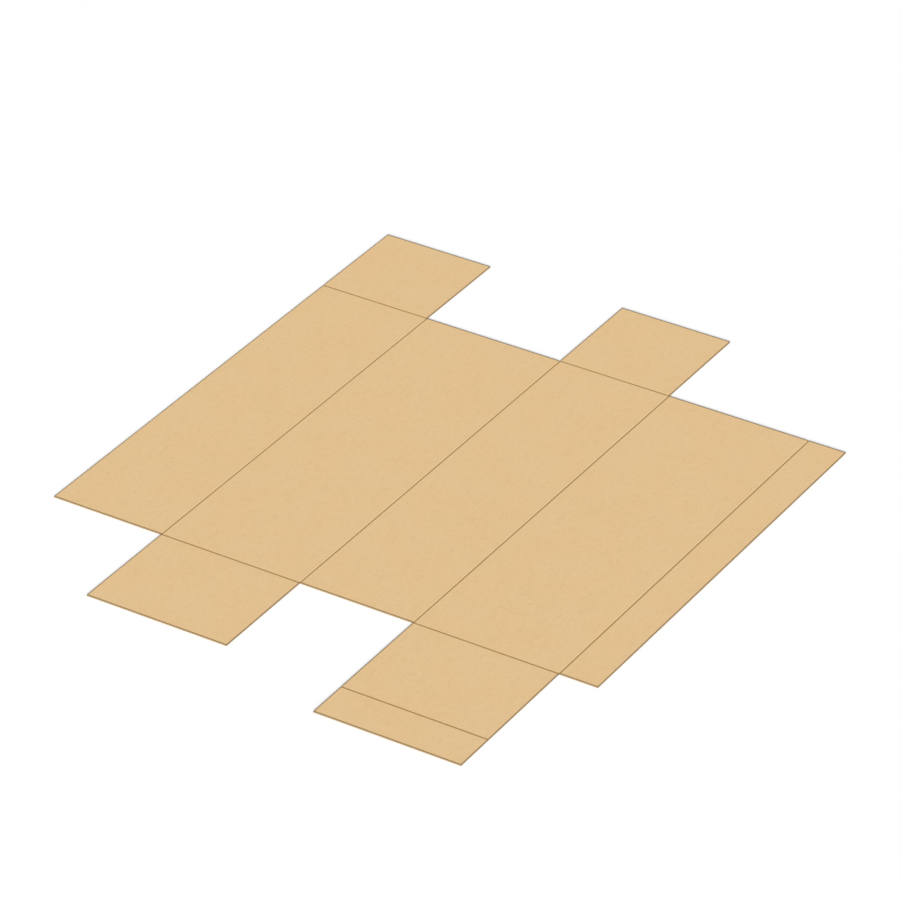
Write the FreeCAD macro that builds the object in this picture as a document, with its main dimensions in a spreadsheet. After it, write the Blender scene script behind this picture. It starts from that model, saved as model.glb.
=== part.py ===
import FreeCAD, Part
import os
import Sketcher

# A carton blank: one die-cut sheet of solid kraft board, scored for folding and lying flat.
# X runs across the four panels towards the glue tab, Y runs along the panels and Z is up.
# The origin is under the middle of the blank, on the surface that it lies on.

NODE = "carton_blank"

# Driving dimensions, in millimetres
SIZES = {
    "wide_panel": 100.0,
    "narrow_panel": 80.0,
    "first_panel_relief": 0.4,
    "glue_tab": 26.2,
    "panel_length": 300.5,
    "flap_clearance": 2.0,
    "tuck_depth": 29.6,
    "board_thickness": 0.8,
    "crease_width": 1.4,
    "crease_depth": 0.28,
    "back_crease_depth": 0.12,
    "rim_radius": 0.15,
}

# Spans: lists of cells that are added up, or taken off where a minus sign leads
FIRST_PANEL = ["narrow_panel", "-first_panel_relief"]
END_FLAP = ["narrow_panel", "-flap_clearance"]

# Fold lines across the blank, measured from its left edge
FOLD_ONE = FIRST_PANEL
FOLD_TWO = FOLD_ONE + ["wide_panel"]
FOLD_THREE = FOLD_TWO + ["narrow_panel"]
TAB_FOLD = FOLD_THREE + ["wide_panel"]
BLANK_WIDTH = TAB_FOLD + ["glue_tab"]

# Fold lines along the blank, measured from the free edge of its tuck flap
TUCK_FOLD = ["tuck_depth"]
NEAR_FOLD = TUCK_FOLD + END_FLAP
FAR_FOLD = NEAR_FOLD + ["panel_length"]
BLANK_LENGTH = FAR_FOLD + END_FLAP

# The die-cut outline as a walk, clockwise from the near left corner of the first panel
OUTLINE = [
    ("up", ["panel_length"] + END_FLAP),
    ("right", FIRST_PANEL),
    ("down", END_FLAP),
    ("right", ["wide_panel"]),
    ("up", END_FLAP),
    ("right", ["narrow_panel"]),
    ("down", END_FLAP),
    ("right", ["wide_panel", "glue_tab"]),
    ("down", ["panel_length"]),
    ("left", ["glue_tab"]),
    ("down", END_FLAP + ["tuck_depth"]),
    ("left", ["wide_panel"]),
    ("up", END_FLAP + ["tuck_depth"]),
    ("left", ["narrow_panel"]),
    ("down", END_FLAP),
    ("left", ["wide_panel"]),
    ("up", END_FLAP),
    ("left", FIRST_PANEL),
]
STEPS = {"right": (1, 0), "left": (-1, 0), "up": (0, 1), "down": (0, -1)}

# How near the board's upper face an edge's ends lie to count as its rim
ON_FACE = 1e-6

# Creases across the blank, one panel each: where the run starts, its length and its fold lines
END_CREASES = [
    ("first_panel_crease", [], FIRST_PANEL, [FAR_FOLD]),
    ("second_panel_crease", FOLD_ONE, ["wide_panel"], [NEAR_FOLD]),
    ("third_panel_crease", FOLD_TWO, ["narrow_panel"], [FAR_FOLD]),
    ("fourth_panel_creases", FOLD_THREE, ["wide_panel"], [NEAR_FOLD, TUCK_FOLD]),
]


def length(span):
    """A span's length in millimetres, as a sketch's first guess."""
    return sum(-SIZES[name[1:]] if name.startswith("-") else SIZES[name] for name in span)


def formula(span):
    """The same span as an expression on the sheet's cells."""
    terms = ["- sizes." + name[1:] if name.startswith("-") else "+ sizes." + name for name in span]
    return "(" + " ".join(["0"] + terms) + ")"


def make_sheet(doc):
    """Put the driving dimensions into a spreadsheet, one row each."""
    sheet = doc.addObject("Spreadsheet::Sheet", "sizes")
    for row, (name, value) in enumerate(SIZES.items(), start=1):
        sheet.set(f"A{row}", name.replace("_", " "))
        sheet.set(f"B{row}", str(value))
        sheet.setAlias(f"B{row}", name)
    doc.recompute()


def new_sketch(body, name, role, offsets):
    """Attach a sketch to one of the body's origin planes, moved by an offset along each axis."""
    sketch = body.newObject("Sketcher::SketchObject", name)
    plane = next(item for item in body.Origin.OriginFeatures if item.Role == role)
    sketch.AttachmentSupport = [(plane, "")]
    sketch.MapMode = "FlatFace"
    for axis, offset in zip("xyz", offsets):
        sketch.setExpression(f"AttachmentOffset.Base.{axis}", offset)
    return sketch


def bind(sketch, constraint, expression):
    """Add a dimension to a sketch and tie it to the sheet."""
    index = sketch.addConstraint(constraint)
    sketch.renameConstraint(index, f"size_{index}")
    sketch.setExpression(f"Constraints.size_{index}", expression)


def draw_outline(sketch):
    """Draw the walk round the blank, each edge level or upright and tied to its own span."""
    x, y = 0.0, length(NEAR_FOLD)
    for edge, (heading, span) in enumerate(OUTLINE):
        step_x, step_y = STEPS[heading]
        start = FreeCAD.Vector(x, y, 0)
        x += step_x * length(span)
        y += step_y * length(span)
        sketch.addGeometry(Part.LineSegment(start, FreeCAD.Vector(x, y, 0)), False)
        sketch.addConstraint(Sketcher.Constraint("Horizontal" if step_x else "Vertical", edge))
        if edge > 0:
            sketch.addConstraint(Sketcher.Constraint("Coincident", edge - 1, 2, edge, 1))
    sketch.addConstraint(Sketcher.Constraint("Coincident", len(OUTLINE) - 1, 2, 0, 1))

    # The first corner is on the blank's left edge, and the last two edges close the walk
    sketch.addConstraint(Sketcher.Constraint("PointOnObject", 0, 1, -2))
    bind(sketch, Sketcher.Constraint("DistanceY", -1, 1, 0, 1, length(NEAR_FOLD)), formula(NEAR_FOLD))
    for edge, (heading, span) in enumerate(OUTLINE[:-2]):
        bind(sketch, Sketcher.Constraint("Distance", edge, length(span)), formula(span))


def draw_trough(sketch, line, depth_name, on_top):
    """Draw a crease's section at a fold line: a round trough with its chord in the board's face."""
    depth = SIZES[depth_name]
    half = SIZES["crease_width"] / 2
    radius = (half**2 + depth**2) / (2 * depth)
    middle = length(line)
    face = SIZES["board_thickness"] if on_top else 0.0
    bottom = FreeCAD.Vector(middle, face - depth if on_top else face + depth, 0)
    left = FreeCAD.Vector(middle - half, face, 0)
    right = FreeCAD.Vector(middle + half, face, 0)
    start, end = (left, right) if on_top else (right, left)
    trough = sketch.addGeometry(Part.Arc(start, bottom, end), False)
    chord = sketch.addGeometry(Part.LineSegment(end, start), False)
    sketch.addConstraint(Sketcher.Constraint("Coincident", trough, 2, chord, 1))
    sketch.addConstraint(Sketcher.Constraint("Coincident", chord, 2, trough, 1))
    sketch.addConstraint(Sketcher.Constraint("Horizontal", chord))
    bind(sketch, Sketcher.Constraint("Distance", chord, 2 * half), "sizes.crease_width")
    bind(
        sketch,
        Sketcher.Constraint("Radius", trough, radius),
        f"(sizes.crease_width ^ 2 / 4 + sizes.{depth_name} ^ 2) / (2 * sizes.{depth_name})",
    )
    bind(sketch, Sketcher.Constraint("DistanceX", -1, 1, trough, 3, middle), formula(line))
    if on_top:
        height = Sketcher.Constraint("DistanceY", -1, 1, chord, 1, face)
        bind(sketch, height, "sizes.board_thickness")
    else:
        sketch.addConstraint(Sketcher.Constraint("PointOnObject", chord, 1, -1))


def cut_board(doc, body):
    """Pad the outline to the board's thickness and round its upper rim, where the die pressed in."""
    centred = [f"-{formula(BLANK_WIDTH)} / 2", f"-{formula(BLANK_LENGTH)} / 2", "0"]
    outline = new_sketch(body, "outline", "XY_Plane", centred)
    draw_outline(outline)
    board = body.newObject("PartDesign::Pad", "board")
    board.Profile = outline
    board.setExpression("Length", "sizes.board_thickness")
    doc.recompute()

    top = board.Shape.BoundBox.ZMax
    rim_edges = [
        f"Edge{number}"
        for number, edge in enumerate(board.Shape.Edges, start=1)
        if all(abs(vertex.Z - top) < ON_FACE for vertex in edge.Vertexes)
    ]
    rim = body.newObject("PartDesign::Fillet", "rim")
    rim.Base = (board, rim_edges)
    rim.setExpression("Radius", "sizes.rim_radius")
    doc.recompute()


def press_creases(doc, body, name, role, offsets, run, lines):
    """Press troughs into both faces of the board along the given fold lines."""
    board_volume = body.Shape.Volume
    section = new_sketch(body, name + "_section", role, offsets)
    for line in lines:
        draw_trough(section, line, "crease_depth", True)
        draw_trough(section, line, "back_crease_depth", False)
    crease = body.newObject("PartDesign::Pocket", name)
    crease.Profile = section
    crease.Reversed = role == "YZ_Plane"
    crease.setExpression("Length", formula(run))
    doc.recompute()
    if not crease.Shape.Volume < board_volume:
        raise RuntimeError(f"{name} cuts nothing")


def make_blank(doc):
    """Build the whole blank as one body."""
    body = doc.addObject("PartDesign::Body", NODE)
    body.Label = NODE
    cut_board(doc, body)

    along = [f"-{formula(BLANK_WIDTH)} / 2", "0", f"{formula(BLANK_LENGTH)} / 2 - {formula(NEAR_FOLD)}"]
    panel_folds = [FOLD_ONE, FOLD_TWO, FOLD_THREE, TAB_FOLD]
    press_creases(doc, body, "panel_creases", "XZ_Plane", along, ["panel_length"], panel_folds)
    for name, start, run, lines in END_CREASES:
        across = [f"-{formula(BLANK_LENGTH)} / 2", "0", f"{formula(start)} - {formula(BLANK_WIDTH)} / 2"]
        press_creases(doc, body, name, "YZ_Plane", across, run, lines)
    return body


def check(doc, body):
    """Stop if anything in the document failed, or if the blank is not one sound solid."""
    failed = [item.Name for item in doc.Objects if {"Invalid", "Error"} & set(item.State)]
    if failed:
        raise RuntimeError("failed to build: " + ", ".join(failed))
    if body.Shape.isNull() or not body.Shape.isValid() or len(body.Shape.Solids) != 1:
        raise RuntimeError("the blank is not one valid solid")


def main():
    doc = FreeCAD.newDocument("carton_blank_model")
    make_sheet(doc)
    body = make_blank(doc)
    check(doc, body)
    box = body.Shape.BoundBox
    print(f"{body.Label}: {box.XLength:.1f} x {box.YLength:.1f} x {box.ZLength:.2f} mm,"
          f" {body.Shape.Volume / 1000:.1f} cubic centimetres")
    os.makedirs("parts", exist_ok=True)
    body.Shape.exportStep(f"parts/{body.Label}.step")


main()
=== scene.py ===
import math

import bpy
import numpy as np
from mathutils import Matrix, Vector


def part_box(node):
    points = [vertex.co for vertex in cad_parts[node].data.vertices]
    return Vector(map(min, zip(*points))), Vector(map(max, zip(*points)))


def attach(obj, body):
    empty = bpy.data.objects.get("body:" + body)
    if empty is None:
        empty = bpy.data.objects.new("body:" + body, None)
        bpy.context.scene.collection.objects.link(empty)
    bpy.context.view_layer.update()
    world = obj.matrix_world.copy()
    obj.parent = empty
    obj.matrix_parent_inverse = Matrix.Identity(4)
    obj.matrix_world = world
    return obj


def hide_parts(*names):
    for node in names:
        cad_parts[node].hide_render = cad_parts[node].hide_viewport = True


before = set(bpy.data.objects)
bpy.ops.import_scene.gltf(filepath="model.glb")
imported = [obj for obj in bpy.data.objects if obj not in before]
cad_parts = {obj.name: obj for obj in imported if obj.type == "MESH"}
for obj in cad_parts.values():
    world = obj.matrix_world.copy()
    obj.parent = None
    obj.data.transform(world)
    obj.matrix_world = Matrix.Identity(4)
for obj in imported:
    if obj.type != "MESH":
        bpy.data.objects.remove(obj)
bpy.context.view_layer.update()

# A carton blank of brown kraft board, lying flat on a white floor.
# Everything is in metres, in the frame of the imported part: X across the panels, Y along them, Z up.

NODE = "carton_blank"
MM = 0.001

# The sheet's sizes, as the part has them
WIDE_PANEL = 100 * MM
NARROW_PANEL = 80 * MM
FIRST_PANEL = NARROW_PANEL - 0.4 * MM
END_FLAP = NARROW_PANEL - 2 * MM
TUCK_FLAP = 29.6 * MM
CREASE_WIDTH = 1.4 * MM
CREASE_DEPTH = 0.28 * MM
BACK_CREASE_DEPTH = 0.12 * MM
TOP_RIM_RADIUS = 0.15 * MM

# Softer than the part: a trough runs out a little past the crease's width, and the back rim is eased
TROUGH_SPREAD = 1.15
TROUGH_REACH = TROUGH_SPREAD * CREASE_WIDTH / 2
BACK_RIM_RADIUS = 0.06 * MM

# Fold lines and cut edges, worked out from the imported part's box
LOW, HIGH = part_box(NODE)
LEFT = LOW[0]
FOLD_ONE = LEFT + FIRST_PANEL
FOLD_TWO = FOLD_ONE + WIDE_PANEL
FOLD_THREE = FOLD_TWO + NARROW_PANEL
TAB_FOLD = FOLD_THREE + WIDE_PANEL
RIGHT = HIGH[0]
TUCK_EDGE = LOW[1]
TUCK_FOLD = TUCK_EDGE + TUCK_FLAP
NEAR_FOLD = TUCK_FOLD + END_FLAP
FAR_EDGE = HIGH[1]
FAR_FOLD = FAR_EDGE - END_FLAP
THICKNESS = HIGH[2]

ACROSS = [LEFT, FOLD_ONE, FOLD_TWO, FOLD_THREE, TAB_FOLD, RIGHT]
ALONG = [TUCK_EDGE, TUCK_FOLD, NEAR_FOLD, FAR_FOLD, FAR_EDGE]

# The die-cut outline's corners, clockwise from the near left corner of the first panel
CORNERS = [
    (LEFT, NEAR_FOLD),
    (LEFT, FAR_EDGE),
    (FOLD_ONE, FAR_EDGE),
    (FOLD_ONE, FAR_FOLD),
    (FOLD_TWO, FAR_FOLD),
    (FOLD_TWO, FAR_EDGE),
    (FOLD_THREE, FAR_EDGE),
    (FOLD_THREE, FAR_FOLD),
    (RIGHT, FAR_FOLD),
    (RIGHT, NEAR_FOLD),
    (TAB_FOLD, NEAR_FOLD),
    (TAB_FOLD, TUCK_EDGE),
    (FOLD_THREE, TUCK_EDGE),
    (FOLD_THREE, NEAR_FOLD),
    (FOLD_TWO, NEAR_FOLD),
    (FOLD_TWO, TUCK_FOLD),
    (FOLD_ONE, TUCK_FOLD),
    (FOLD_ONE, NEAR_FOLD),
]
CUT_EDGES = list(zip(CORNERS, CORNERS[1:] + CORNERS[:1]))

# Fold lines: those that run along the panels, then those that run across one panel
FOLDS = [((fold, NEAR_FOLD), (fold, FAR_FOLD)) for fold in (FOLD_ONE, FOLD_TWO, FOLD_THREE, TAB_FOLD)]
FOLDS += [
    ((LEFT, FAR_FOLD), (FOLD_ONE, FAR_FOLD)),
    ((FOLD_ONE, NEAR_FOLD), (FOLD_TWO, NEAR_FOLD)),
    ((FOLD_TWO, FAR_FOLD), (FOLD_THREE, FAR_FOLD)),
    ((FOLD_THREE, NEAR_FOLD), (TAB_FOLD, NEAR_FOLD)),
    ((FOLD_THREE, TUCK_FOLD), (TAB_FOLD, TUCK_FOLD)),
]

# The mesh: grid lines crowd at every fold line and cut edge, and are wide apart between them
CLOSE_PLACES_MM = (0, 0.015, 0.05, 0.1, 0.15, 0.25, 0.4, 0.55, 0.7, 0.9, 1.3, 2.2, 4)
CLOSE_OFFSETS = [place * MM for place in CLOSE_PLACES_MM]
OPEN_STEP = 6 * MM
SIDE_ROWS = 3

# Grid lines are rounded to this many decimals, and a point this little past a fold's end is still on it
ROUNDING = 8
NEARLY = 1e-7

# The bake map: shares of its square, and how wide the cut side is laid out round the upper face
BAKE_MARGIN = 0.006
BAKE_TOP_SHARE = 0.6
BAKE_SIDE_WIDTH = 3 * MM

# How far painted-shade lines reach from a fold line and from a cut edge, for lines along and across the
# grain
FOLD_LINE_REACH = {"along": 0.47 * MM, "across": 0.68 * MM}
RIM_LINE_REACH = {"along": 0.56 * MM, "across": 0.80 * MM}

# Lines on the underside reach only this share as far, and no line shows this many reaches away
BACK_LINE_SHARE = 0.4
FAR_OFF = 10.0

# A dark line's soft border, as shares of its reach, how ragged it is, and its fading on raised fibres
LINE_BORDER = (0.65, 1.35)
RAGGEDNESS = 0.4
FADED = 0.88

# Colours, as linear light
KRAFT = (0.745, 0.521, 0.275)
KRAFT_WARM = (0.745, 0.508, 0.259)
# Painted shade: a dark brown laid along the fold lines, where the crease troughs would be in shade
PAINTED_FOLD_SHADE = (0.33, 0.206, 0.078)
# Painted shade: a darker brown in a band along the cut edges, standing in for the shade at the outline
PAINTED_RIM_SHADE = (0.2, 0.128, 0.056)
# Painted shade: the cut side is coloured a dark brown in place of the shade a side face would have
PAINTED_SIDE_SHADE = (0.3, 0.21, 0.108)
FLECK_BROWN = (0.40, 0.24, 0.10)
FIBRE_PALE = (0.83, 0.62, 0.38)
WHITE = (1.0, 1.0, 1.0)
FLOOR_BOUNCE = (0.8, 0.8, 0.8)

# The board's patterns, in cycles per metre along X, Y and Z: streaks and felt run along the panels,
# and plies lie level
PATTERNS = {
    "clouds": {"scales": (30.0, 30.0, 30.0), "detail": 3.0, "roughness": 0.55},
    "formation": {"scales": (260.0, 260.0, 260.0), "detail": 4.0, "roughness": 0.6},
    "streaks": {"scales": (1100.0, 60.0, 1100.0), "detail": 3.0, "roughness": 0.6},
    "felt": {"scales": (3500.0, 1400.0, 3500.0), "detail": 3.0, "roughness": 0.65, "distortion": 0.6},
    "plies": {"scales": (500.0, 500.0, 9000.0), "detail": 2.0, "roughness": 0.5},
}

# A noise's middle, the values that most of it lies between, and a wider pair of such values
NOISE_MIDDLE = 0.5
NOISE_SPREAD = (0.3, 0.7)
WIDE_SPREAD = (0.25, 0.75)

# How far each pattern moves the board's brightness from its darkest to its palest
SWINGS = {"clouds": 0.04, "formation": 0.10, "streaks": 0.10, "felt": 0.26}
PLY_SWING = 0.5

# Single fibres and specks of bark: how close they lie, and how much of the pulp's colour they cover
FIBRES = {
    "pale": {"scales": (620.0, 248.0, 620.0), "shift": (186.0, 62.0, 124.0)},
    "dark": {"scales": (480.0, 192.0, 480.0), "shift": (336.0, 240.0, 192.0)},
}
BARK_SCALES = (150.0, 60.0, 150.0)
BARK_CHANCE = (0.35, 1.0)
BARK_SIZE = 0.05
BARK_BORDER = BARK_SIZE / 3
PALE_FIBRE_COVER = 0.35
DARK_FIBRE_COVER = 0.22
BARK_COVER = 0.6

# A fibre lies where one noise crosses its middle, and shows only where another one is high
THREAD_NOISE = {"scales": (1.0, 1.0, 1.0), "detail": 1.0, "roughness": 0.5}
THREAD_WIDTH = 0.022
BREAKING_NOISE = {"scales": (0.7, 0.7, 0.7), "detail": 2.0, "roughness": 0.6, "distortion": 1.5}
BREAKING_RANGE = (0.5, 0.58)

# The board's surface: dull, and a little smoother and flatter where it is pressed
ROUGHNESS = (0.84, 0.94)
PRESSED_SHINE = 0.12
PRESSED_RELIEF = 0.4
GLOSS_LEVEL = 0.25
RELIEF = 0.045 * MM
RELIEF_STRENGTH = 0.8
FORMATION_RELIEF = 0.6
PALE_FIBRE_RELIEF = 0.4
DARK_FIBRE_RELIEF = -0.2

# The camera that drew the photograph, solved from the sheet's corners
CAMERA_AZIMUTH = math.radians(32.0116)
CAMERA_ELEVATION = math.radians(32.1398)
CAMERA_LENS_MM = 213.991
CAMERA_SENSOR_MM = 36.0
CAMERA_DISTANCE = 3.30983
CAMERA_TARGET = Vector((-16.351 * MM, 38.010 * MM, THICKNESS - CREASE_DEPTH))
CAMERA_SIGHT = 50.0

# Even sky light and one broad low lamp behind the camera, with strengths that add up to 1 on a level face
SKY_SHARE = 0.45
LAMP_AZIMUTH = CAMERA_AZIMUTH
LAMP_ELEVATION = math.radians(18)
LAMP_BREADTH = math.radians(20)

# Half the floor's width
FLOOR_HALF = 6.0


def grid_lines(fixed):
    """Grid lines along one axis, from the first fixed line to the last."""
    lines = set()
    for line in fixed:
        for offset in CLOSE_OFFSETS:
            lines.update(round(place, ROUNDING) for place in (line - offset, line + offset))
    for start, end in zip(fixed, fixed[1:]):
        start += CLOSE_OFFSETS[-1]
        end -= CLOSE_OFFSETS[-1]
        count = max(2, round((end - start) / OPEN_STEP) + 1)
        lines.update(round(place, ROUNDING) for place in np.linspace(start, end, count))
    low, high = round(fixed[0], ROUNDING), round(fixed[-1], ROUNDING)
    return np.array(sorted(line for line in lines if low <= line <= high))


def inside_outline(x, y):
    """True where a point lies on the sheet: an odd number of upright cut edges to its right."""
    inside = np.zeros(x.shape, bool)
    for (x0, y0), (x1, y1) in CUT_EDGES:
        if x0 == x1:
            inside ^= (x < x0) & (min(y0, y1) < y) & (y < max(y0, y1))
    return inside


def sheet_grid():
    """The grid points on the sheet, and the cells between them as loops of point numbers."""
    x, y = np.meshgrid(grid_lines(ACROSS), grid_lines(ALONG), indexing="ij")
    filled = inside_outline((x[:-1, :-1] + x[1:, 1:]) / 2, (y[:-1, :-1] + y[1:, 1:]) / 2)
    number = np.arange(x.size).reshape(x.shape)
    corners = (number[:-1, :-1], number[1:, :-1], number[1:, 1:], number[:-1, 1:])
    loops = np.column_stack([corner[filled] for corner in corners])
    used, loops = np.unique(loops, return_inverse=True)
    return x.ravel()[used], y.ravel()[used], loops.reshape(-1, 4)


def rim_of(loops):
    """The cut edges between grid points: pairs of point numbers, with the sheet on their left."""
    edges = {(loop[corner - 1], loop[corner]) for loop in loops.tolist() for corner in range(4)}
    return np.array(sorted(edge for edge in edges if (edge[1], edge[0]) not in edges))


def distance_to(x, y, start, end):
    """Distance from each point to a level or upright line between two places."""
    (x0, y0), (x1, y1) = start, end
    beside_x = np.maximum(0, np.maximum(min(x0, x1) - x, x - max(x0, x1)))
    beside_y = np.maximum(0, np.maximum(min(y0, y1) - y, y - max(y0, y1)))
    return np.hypot(beside_x, beside_y)


def crease_depth(x, y):
    """How deep the creases press at each point, from 0 on open board to 1 on a fold line."""
    pressed = np.zeros(x.shape)
    for (x0, y0), (x1, y1) in FOLDS:
        along = x0 == x1
        away = np.abs(x - x0) if along else np.abs(y - y0)
        run, start, end = (y, y0, y1) if along else (x, x0, x1)
        trough = np.cos(np.minimum(1, away / TROUGH_REACH) * math.pi / 2) ** 2
        on_run = (run > start - NEARLY) & (run < end + NEARLY)
        pressed = np.maximum(pressed, trough * on_run)
    return pressed


def rim_drop(distance, radius):
    """How far a rim of this radius falls below the face, at a distance from the cut edge."""
    inset = radius - np.minimum(distance, radius)
    return radius - np.sqrt(radius**2 - inset**2)


def face_heights(x, y):
    """Heights of the upper face and the underside at each point."""
    pressed = crease_depth(x, y)
    distance = np.minimum.reduce([distance_to(x, y, start, end) for start, end in CUT_EDGES])
    top_z = THICKNESS - CREASE_DEPTH * pressed - rim_drop(distance, TOP_RIM_RADIUS)
    back_z = BACK_CREASE_DEPTH * pressed + rim_drop(distance, BACK_RIM_RADIUS)
    return top_z, back_z


def side_rows(rim_points, total):
    """Vertex numbers by row and point, from the upper face down the cut side to the underside."""
    rows = np.zeros((SIDE_ROWS + 2, total), int)
    rows[0] = np.arange(total)
    rows[-1] = total + np.arange(total)
    for row in range(SIDE_ROWS):
        first = 2 * total + row * len(rim_points)
        rows[row + 1, rim_points] = first + np.arange(len(rim_points))
    return rows


def side_quads(rows, rim_edges):
    """What the corners of the faces down the cut side have, from a table by row and point."""
    start, end = rim_edges.T
    bands = zip(rows[:-1], rows[1:])
    quads = [np.stack((low[start], low[end], high[end], high[start]), axis=1) for high, low in bands]
    return np.concatenate(quads)


def sheet_mesh():
    """The whole sheet as one closed mesh: two faces with pressed creases and a rounded rim."""
    x, y, loops = sheet_grid()
    rim_edges = rim_of(loops)
    rim_points = np.unique(rim_edges)
    top_z, back_z = face_heights(x, y)

    layers = [(x, y, top_z), (x, y, back_z)]
    for height in np.linspace(top_z, back_z, SIDE_ROWS + 2)[1:-1]:
        layers.append((x[rim_points], y[rim_points], height[rim_points]))
    vertices = np.concatenate([np.column_stack(layer) for layer in layers])
    sides = side_quads(side_rows(rim_points, len(x)), rim_edges)
    faces = np.concatenate((loops, len(x) + loops[:, ::-1], sides))

    mesh = bpy.data.meshes.new("kraft_sheet")
    mesh.from_pydata(vertices.tolist(), [], faces.tolist())
    mesh.polygons.foreach_set("use_smooth", [True] * len(faces))
    add_shade_masks(mesh, x, y)
    add_bake_map(mesh, x, y, loops, rim_edges)
    mesh.validate()
    mesh.update()
    return mesh


def line_share(x, y, lines, reach):
    """Distance from each point to the nearest line, where 1 is the border of its dark line."""
    shares = []
    for start, end in lines:
        grain = "along" if start[0] == end[0] else "across"
        shares.append(distance_to(x, y, start, end) / reach[grain])
    return np.minimum.reduce(shares)


def add_shade_masks(mesh, x, y):
    """Point values that the board's material reads for its painted shade: how near a fold, a cut edge and
    the side are.
    """
    fold = line_share(x, y, FOLDS, FOLD_LINE_REACH)
    rim = line_share(x, y, CUT_EDGES, RIM_LINE_REACH)
    on_face = np.zeros(len(x))
    on_side = np.ones(len(mesh.vertices) - 2 * len(x))
    tables = {
        "fold_share": (fold, fold / BACK_LINE_SHARE, FAR_OFF * on_side),
        "rim_share": (rim, rim / BACK_LINE_SHARE, 0 * on_side),
        "side": (on_face, on_face, on_side),
    }
    for name, table in tables.items():
        values = np.minimum(np.concatenate(table), FAR_OFF)
        layer = mesh.attributes.new(name, "FLOAT", "POINT")
        layer.data.foreach_set("value", values.astype(np.float32))


def outward_push(x, y, rim_edges):
    """The way out of the sheet at each point of its rim, and nothing elsewhere."""
    start, end = rim_edges.T
    normals = np.column_stack((np.sign(y[end] - y[start]), np.sign(x[start] - x[end])))
    push = np.zeros((len(x), 2))
    np.add.at(push, start, normals)
    np.add.at(push, end, normals)
    return np.sign(push)


def add_bake_map(mesh, x, y, loops, rim_edges):
    """Lay the upper face and the sides out as one island, and the underside as another."""
    low = np.array((LEFT, TUCK_EDGE))
    size = np.array((RIGHT, FAR_EDGE)) - low
    height = 1 - 2 * BAKE_MARGIN
    back_share = 1 - 3 * BAKE_MARGIN - BAKE_TOP_SHARE
    top_scale = np.array((BAKE_TOP_SHARE, height)) / (size + 2 * BAKE_SIDE_WIDTH)
    back_scale = np.array((-back_share, height)) / size

    from_low = np.column_stack((x, y)) - low
    top = BAKE_MARGIN + (from_low + BAKE_SIDE_WIDTH) * top_scale
    back = np.array((1 - BAKE_MARGIN, BAKE_MARGIN)) + from_low * back_scale
    push = outward_push(x, y, rim_edges) * BAKE_SIDE_WIDTH * top_scale
    sides = side_quads(np.linspace(top, top + push, SIDE_ROWS + 2), rim_edges)
    places = np.concatenate((top[loops], back[loops[:, ::-1]], sides))
    layer = mesh.uv_layers.new(name="OFBake")
    layer.data.foreach_set("uv", places.astype(np.float32).ravel())


def add_node(tree, kind, inputs=None, **settings):
    """Add a shader node, set its settings, and fill or link its inputs."""
    item = tree.nodes.new(kind)
    for name, value in settings.items():
        setattr(item, name, value)
    for socket, value in (inputs or {}).items():
        if isinstance(value, bpy.types.NodeSocket):
            tree.links.new(value, item.inputs[socket])
        else:
            item.inputs[socket].default_value = value
    return item


def maths(tree, operation, first, second=0.0):
    """One arithmetic step on two values."""
    return add_node(tree, "ShaderNodeMath", {0: first, 1: second}, operation=operation).outputs[0]


def centred(tree, pattern, swing):
    """A pattern's value moved to lie round zero, with its whole swing given."""
    inputs = {0: pattern, 1: swing, 2: -swing / 2}
    return add_node(tree, "ShaderNodeMath", inputs, operation="MULTIPLY_ADD").outputs[0]


def ramp(tree, value, low, high, to_low=0.0, to_high=1.0):
    """Map a value's range smoothly onto another."""
    inputs = {"Value": value, "From Min": low, "From Max": high, "To Min": to_low, "To Max": to_high}
    item = add_node(tree, "ShaderNodeMapRange", inputs, interpolation_type="SMOOTHSTEP")
    return item.outputs["Result"]


def mixed(tree, factor, first, second):
    """Blend two colours."""
    first = (*first, 1.0) if isinstance(first, tuple) else first
    second = (*second, 1.0) if isinstance(second, tuple) else second
    item = add_node(tree, "ShaderNodeMix", {0: factor, 6: first, 7: second}, data_type="RGBA")
    return item.outputs[2]


def covered(tree, mask, cover, under, over):
    """Lay one colour over another where a mask is 1, as far as it covers."""
    return mixed(tree, maths(tree, "MULTIPLY", mask, cover), under, over)


def attribute(tree, name):
    """A value that the mesh holds at each of its points."""
    return add_node(tree, "ShaderNodeAttribute", attribute_name=name).outputs["Fac"]


def mapped(tree, place, scales, shift=(0.0, 0.0, 0.0)):
    """Places scaled by a number along each axis, then shifted."""
    inputs = {"Vector": place, "Location": shift, "Scale": scales}
    return add_node(tree, "ShaderNodeMapping", inputs).outputs["Vector"]


def noise(tree, place, scales, detail, roughness, distortion=0.0):
    """A noise texture's value, from 0 to 1 with its middle at 0.5."""
    inputs = {"Vector": mapped(tree, place, scales), "Scale": 1.0, "Detail": detail}
    inputs["Roughness"] = roughness
    inputs["Distortion"] = distortion
    return add_node(tree, "ShaderNodeTexNoise", inputs).outputs["Fac"]


def strands(tree, place, scales, shift):
    """Thin curved fibres: the lines where a noise crosses its middle, broken up by a wider noise."""
    moved = mapped(tree, place, scales, shift)
    crossing = maths(tree, "SUBTRACT", noise(tree, moved, **THREAD_NOISE), NOISE_MIDDLE)
    thread = ramp(tree, maths(tree, "ABSOLUTE", crossing), 0.0, THREAD_WIDTH, 1.0, 0.0)
    broken = ramp(tree, noise(tree, moved, **BREAKING_NOISE), *BREAKING_RANGE)
    return maths(tree, "MULTIPLY", thread, broken)


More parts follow.
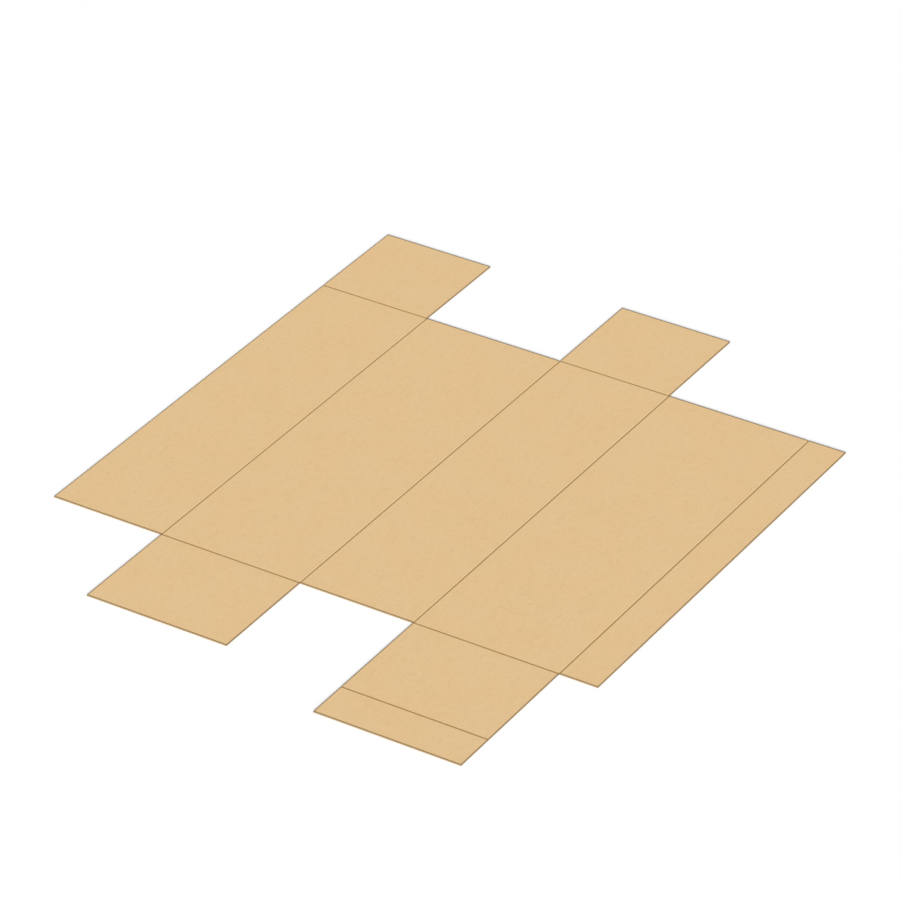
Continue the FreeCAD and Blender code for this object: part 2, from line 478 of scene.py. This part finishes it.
def flecks(tree, place):
    """Sparse specks of bark in the pulp: 1 on a speck, 0 between."""
    inputs = {"Vector": mapped(tree, place, BARK_SCALES), "Scale": 1.0, "Randomness": 1.0}
    cells = add_node(tree, "ShaderNodeTexVoronoi", inputs)
    chance = add_node(tree, "ShaderNodeSeparateColor", {"Color": cells.outputs["Color"]}).outputs["Red"]
    reach = maths(tree, "MULTIPLY", ramp(tree, chance, *BARK_CHANCE), BARK_SIZE)
    inside = maths(tree, "SUBTRACT", reach, cells.outputs["Distance"])
    return ramp(tree, inside, 0.0, BARK_BORDER)


def painted_shade_line(tree, name, felt):
    """1 inside the painted-shade dark line along a fold or a cut edge, fading out over a slightly ragged
    border.
    """
    share = maths(tree, "ADD", attribute(tree, name), centred(tree, felt, RAGGEDNESS))
    line = ramp(tree, share, *LINE_BORDER, 1.0, 0.0)
    return maths(tree, "MULTIPLY", line, ramp(tree, felt, *NOISE_SPREAD, 1.0, FADED))


def pulp_colour(tree, place, patterns, fibres):
    """The open board's colour: two browns in wide clouds, with fibres and specks of bark."""
    colour = mixed(tree, ramp(tree, patterns["clouds"], *NOISE_SPREAD), KRAFT, KRAFT_WARM)
    colour = covered(tree, fibres["pale"], PALE_FIBRE_COVER, colour, FIBRE_PALE)
    colour = covered(tree, fibres["dark"], DARK_FIBRE_COVER, colour, FLECK_BROWN)
    return covered(tree, flecks(tree, place), BARK_COVER, colour, FLECK_BROWN)


def board_brightness(tree, patterns, side):
    """A number round 1 that the board's colour is multiplied by, with plies on the cut side."""
    plies = centred(tree, patterns["plies"], PLY_SWING)
    brightness = maths(tree, "ADD", maths(tree, "MULTIPLY", side, plies), 1.0)
    for name, swing in SWINGS.items():
        brightness = maths(tree, "ADD", centred(tree, patterns[name], swing), brightness)
    return brightness


def board_relief(tree, patterns, fibres, side, painted_shade_mask):
    """The board's fine relief, pressed flatter in the painted-shade lines and layered on the cut side."""
    parts = [
        (patterns["formation"], FORMATION_RELIEF),
        (fibres["pale"], PALE_FIBRE_RELIEF),
        (fibres["dark"], DARK_FIBRE_RELIEF),
    ]
    height = patterns["felt"]
    for part, share in parts:
        height = maths(tree, "ADD", height, maths(tree, "MULTIPLY", part, share))
    height = maths(tree, "MULTIPLY", height, ramp(tree, painted_shade_mask, 0.0, 1.0, 1.0, PRESSED_RELIEF))
    height = maths(tree, "ADD", height, maths(tree, "MULTIPLY", side, patterns["plies"]))
    inputs = {"Height": height, "Strength": RELIEF_STRENGTH, "Distance": RELIEF}
    return add_node(tree, "ShaderNodeBump", inputs).outputs["Normal"]


def kraft_board():
    """Uncoated brown kraft board: cloudy pulp, fibres along the panels, and painted shade on creases, cut
    edges and cut side.
    """
    material = bpy.data.materials.new("kraft_board")
    material.use_nodes = True
    tree = material.node_tree
    shader = tree.nodes["Principled BSDF"]
    place = add_node(tree, "ShaderNodeTexCoord").outputs["Object"]
    patterns = {name: noise(tree, place, **make) for name, make in PATTERNS.items()}
    fibres = {name: strands(tree, place, **make) for name, make in FIBRES.items()}
    side = attribute(tree, "side")
    painted_fold_shade = painted_shade_line(tree, "fold_share", patterns["felt"])
    painted_rim_shade = painted_shade_line(tree, "rim_share", patterns["felt"])
    painted_shade_mask = maths(tree, "MAXIMUM", painted_fold_shade, painted_rim_shade)

    # Painted shade: dark browns are laid over the fold lines, a band along the cut edges, and the whole
    # cut side
    colour = pulp_colour(tree, place, patterns, fibres)
    for mask, brown in ((painted_fold_shade, PAINTED_FOLD_SHADE), (painted_rim_shade, PAINTED_RIM_SHADE), (side, PAINTED_SIDE_SHADE)):
        colour = mixed(tree, mask, colour, brown)
    inputs = {0: colour, "Scale": board_brightness(tree, patterns, side)}
    colour = add_node(tree, "ShaderNodeVectorMath", inputs, operation="SCALE").outputs[0]
    tree.links.new(colour, shader.inputs["Base Color"])

    dull = ramp(tree, patterns["formation"], *WIDE_SPREAD, *ROUGHNESS)
    shine = maths(tree, "MULTIPLY", painted_shade_mask, PRESSED_SHINE)
    tree.links.new(maths(tree, "SUBTRACT", dull, shine), shader.inputs["Roughness"])
    shader.inputs["Specular IOR Level"].default_value = GLOSS_LEVEL
    relief = board_relief(tree, patterns, fibres, side, painted_shade_mask)
    tree.links.new(relief, shader.inputs["Normal"])
    return material


def make_sheet():
    """The dressed sheet, in place of the plain one."""
    sheet = bpy.data.objects.new("kraft_sheet", sheet_mesh())
    sheet.data.materials.append(kraft_board())
    bpy.context.scene.collection.objects.link(sheet)
    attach(sheet, "root")
    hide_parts(NODE)


def seen_ray(tree):
    """1 for rays that the camera, a reflection or a clear body sends out, and 0 for light."""
    path = add_node(tree, "ShaderNodeLightPath")
    glossy = maths(tree, "MAXIMUM", path.outputs["Is Camera Ray"], path.outputs["Is Glossy Ray"])
    return maths(tree, "MAXIMUM", glossy, path.outputs["Is Transmission Ray"])


def floor_material():
    """A white floor that keeps shadows, and throws back less light than it shows."""
    material = bpy.data.materials.new("floor_white")
    material.use_nodes = True
    tree = material.node_tree
    shader = tree.nodes["Principled BSDF"]
    tree.links.new(mixed(tree, seen_ray(tree), FLOOR_BOUNCE, WHITE), shader.inputs["Base Color"])
    shader.inputs["Roughness"].default_value = 1.0
    shader.inputs["Specular IOR Level"].default_value = 0.0
    return material


def make_floor():
    """A plain square floor under the sheet."""
    mesh = bpy.data.meshes.new("floor")
    corners = [(FLOOR_HALF * x, FLOOR_HALF * y, 0) for x, y in ((-1, -1), (1, -1), (1, 1), (-1, 1))]
    mesh.from_pydata(corners, [], [(0, 1, 2, 3)])
    mesh.materials.append(floor_material())
    floor = bpy.data.objects.new("floor", mesh)
    bpy.context.scene.collection.objects.link(floor)


def direction(azimuth, elevation):
    """Unit vector from the sheet towards something seen from this side and height."""
    level = math.cos(elevation)
    return Vector((math.sin(azimuth) * level, -math.cos(azimuth) * level, math.sin(elevation)))


def make_sky():
    """Even white light from all round, which shows as plain white behind the floor."""
    world = bpy.data.worlds.new("studio")
    bpy.context.scene.world = world
    world.use_nodes = True
    tree = world.node_tree
    background = tree.nodes["Background"]
    background.inputs["Color"].default_value = (*WHITE, 1.0)
    strength = ramp(tree, seen_ray(tree), 0.0, 1.0, SKY_SHARE, 1.0)
    tree.links.new(strength, background.inputs["Strength"])


def make_lamp():
    """One broad lamp, which gives a level surface the light that the sky leaves off."""
    lamp = bpy.data.lights.new("studio_lamp", "SUN")
    lamp.energy = (1 - SKY_SHARE) * math.pi / math.sin(LAMP_ELEVATION)
    lamp.angle = LAMP_BREADTH
    holder = bpy.data.objects.new("studio_lamp", lamp)
    towards = direction(LAMP_AZIMUTH, LAMP_ELEVATION)
    holder.rotation_euler = towards.to_track_quat("Z", "Y").to_euler()
    bpy.context.scene.collection.objects.link(holder)


def make_camera():
    """The photograph's own view: a long lens from the near right, above the sheet."""
    data = bpy.data.cameras.new("camera")
    data.lens = CAMERA_LENS_MM
    data.sensor_width = CAMERA_SENSOR_MM
    data.clip_end = CAMERA_SIGHT
    camera = bpy.data.objects.new("camera", data)
    towards = direction(CAMERA_AZIMUTH, CAMERA_ELEVATION)
    camera.location = CAMERA_TARGET + towards * CAMERA_DISTANCE
    camera.rotation_euler = towards.to_track_quat("Z", "Y").to_euler()
    bpy.context.scene.collection.objects.link(camera)
    bpy.context.scene.camera = camera


make_camera()
make_sheet()
make_floor()
make_sky()
make_lamp()
bpy.context.scene.view_settings.view_transform = "Standard"
